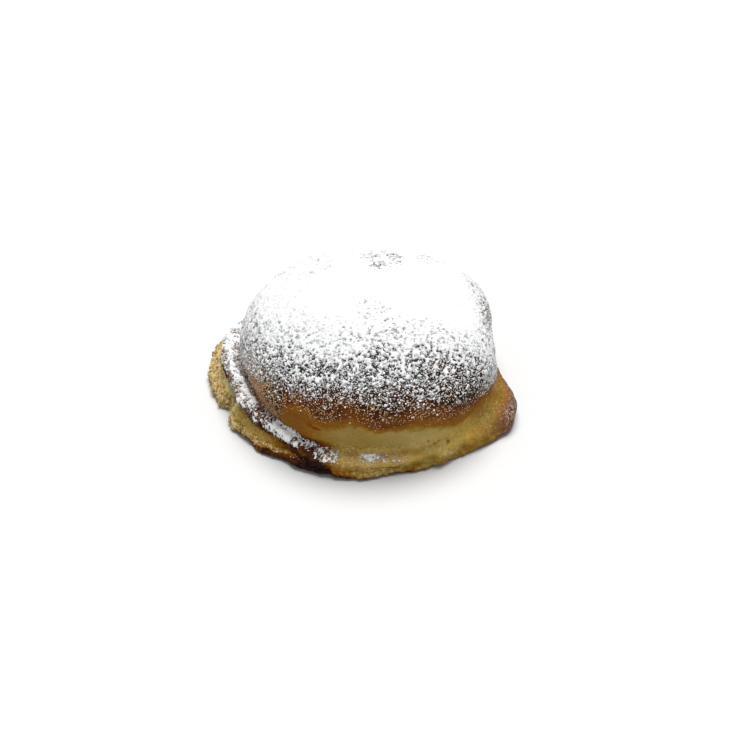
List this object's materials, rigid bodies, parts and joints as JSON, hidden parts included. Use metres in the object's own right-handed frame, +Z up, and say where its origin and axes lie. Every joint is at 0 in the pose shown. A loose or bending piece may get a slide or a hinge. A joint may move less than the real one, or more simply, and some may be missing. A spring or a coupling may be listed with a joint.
{
  "type": "sfogliatella",
  "caption": "Domed shortcrust pastry on a thin pressed rim that has parted along one side, dusted with icing sugar, with a flat underside.",
  "frame": {"origin": "centre of the bounding box's footprint, on the flat underside", "axes": "+X to the right of the picture and along the longest extent, +Y away from the camera, +Z up"},
  "size_m": [0.1, 0.0896, 0.0399],
  "materials": {
    "crust": "baked shortcrust, golden to dark brown",
    "icing_sugar": "dry matt powder"
  },
  "bodies": {
    "root": {"pastry": "crust"}
  },
  "joints": []
}
